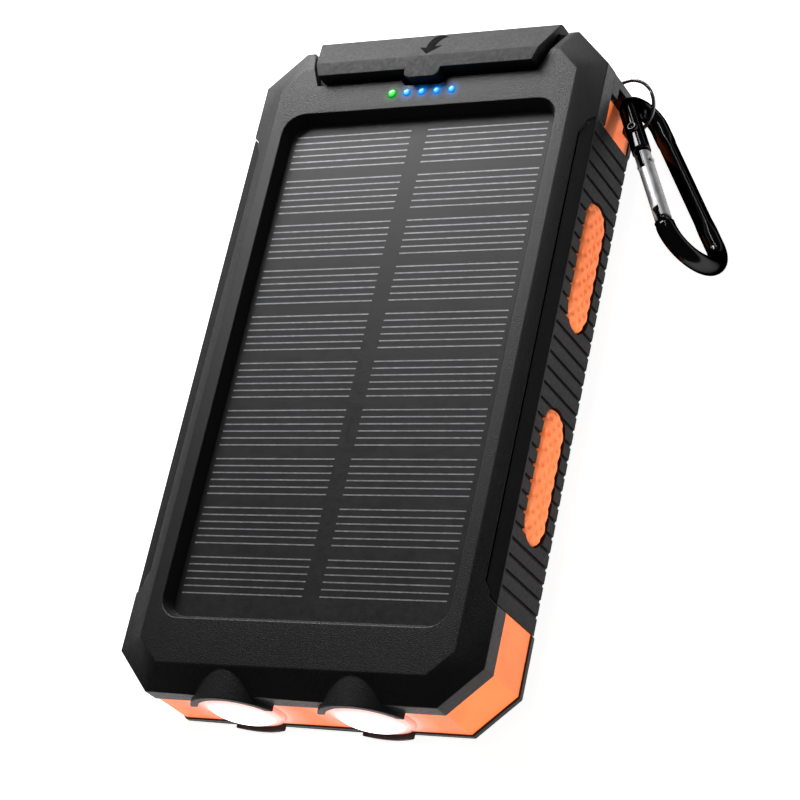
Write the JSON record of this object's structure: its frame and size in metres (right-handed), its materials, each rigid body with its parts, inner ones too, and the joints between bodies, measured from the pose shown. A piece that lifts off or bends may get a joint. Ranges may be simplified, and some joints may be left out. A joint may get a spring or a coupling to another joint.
{
  "type": "solar phone charger",
  "caption": "Rugged solar power bank with ribbed side grips, an end flap over its sockets, end lamps, a key ring and a carabiner.",
  "frame": {"origin": "centre of the flat rear face", "axes": "+Y towards the socket end, +Z out of the solar panel, +X towards the carabiner side"},
  "size_m": [0.1056, 0.1455, 0.0235],
  "materials": {
    "cover_black": "fine matt grain",
    "grip_rubber": "matt",
    "frame_orange": "satin",
    "pad_orange": "fine bumps",
    "flap_rubber": "matt",
    "solar_cell": "glossy laminate with thin printed lines",
    "lamp_lens": "clear dome over a white lamp",
    "reflector": "mirror",
    "white_plastic": "satin",
    "socket_steel": "satin",
    "screw_steel": "dark zinc",
    "ring_steel": "polished wire",
    "carabiner_black": "gloss black",
    "gate_aluminium": "brushed",
    "circuit_board": "solder mask",
    "chip_black": "matt",
    "cell_foil": "laminated pouch foil",
    "foam": "open foam",
    "glow_green": "lit",
    "glow_blue": "lit",
    "wire_red": "satin",
    "wire_black": "satin"
  },
  "bodies": {
    "case": {"front_cover": "cover_black", "middle_frame": "frame_orange", "rear_cover": "cover_black", "lanyard_corner": "cover_black", "side_grip_left": "grip_rubber", "side_grip_right": "grip_rubber", "grip_pad_left_upper": "pad_orange", "grip_pad_left_lower": "pad_orange", "grip_pad_right_upper": "pad_orange", "grip_pad_right_lower": "pad_orange", "port_cover_strap": "flap_rubber", "solar_panel": "solar_cell", "panel_substrate": "circuit_board", "lamp_lens_left": "lamp_lens", "lamp_lens_right": "lamp_lens", "lamp_reflector_left": "reflector", "lamp_reflector_right": "reflector", "lamp_led_left": "white_plastic", "lamp_led_right": "white_plastic", "lamp_board": "circuit_board", "main_board": "circuit_board", "usb_socket_1": "socket_steel", "usb_socket_2": "socket_steel", "usb_tongue_1": "white_plastic", "usb_tongue_2": "white_plastic", "input_socket": "socket_steel", "inductor": "chip_black", "charge_chip": "chip_black", "boost_chip": "chip_black", "indicator_board": "circuit_board", "indicator_light_1": "glow_green", "indicator_light_2": "glow_blue", "indicator_light_3": "glow_blue", "indicator_light_4": "glow_blue", "indicator_light_5": "glow_blue", "switch_body": "chip_black", "battery_cell_lower": "cell_foil", "battery_cell_upper": "cell_foil", "battery_foam": "foam", "protection_board": "circuit_board", "battery_lead_red": "wire_red", "battery_lead_black": "wire_black", "panel_lead_red": "wire_red", "panel_lead_black": "wire_black", "lamp_lead_red": "wire_red", "lamp_lead_black": "wire_black", "rear_screw_1": "screw_steel", "rear_screw_2": "screw_steel", "rear_screw_3": "screw_steel", "rear_screw_4": "screw_steel"},
    "flap": {"port_cover": "flap_rubber"},
    "button": {"power_button": "frame_orange", "switch_plunger": "white_plastic"},
    "ring": {"key_ring": "ring_steel"},
    "carabiner": {"carabiner_body": "carabiner_black"},
    "gate": {"carabiner_gate": "gate_aluminium", "gate_rivet": "gate_aluminium"}
  },
  "joints": [
    {"name": "flap_hinge", "type": "hinge", "parent": "case", "child": "flap", "pos_m": [0, 0.0719, 0.0044], "axis": [-1, 0, 0], "range_deg": [0, 95]},
    {"name": "button_press", "type": "slide", "parent": "case", "child": "button", "axis": [1, 0, 0], "range_m": [0, 0.0005], "stiffness_N_per_m": 600, "springref_m": -0.0003},
    {"name": "ring_swing", "type": "hinge", "parent": "case", "child": "ring", "pos_m": [0.0382, 0.0626, 0.0065], "axis": [0, 0, 1], "range_deg": [0, 60]},
    {"name": "carabiner_swing", "type": "hinge", "parent": "ring", "child": "carabiner", "pos_m": [0.04384, 0.05714, 0.00611], "axis": [-0.7887, -0.4824, -0.3811], "range_deg": [-30, 22]},
    {"name": "gate_open", "type": "hinge", "parent": "carabiner", "child": "gate", "pos_m": [0.04895, 0.04263, 0.01389], "axis": [0.7887, 0.4824, 0.3811], "range_deg": [0, 25], "stiffness_Nm_per_rad": 0.02, "springref_deg": -11.46}
  ]
}
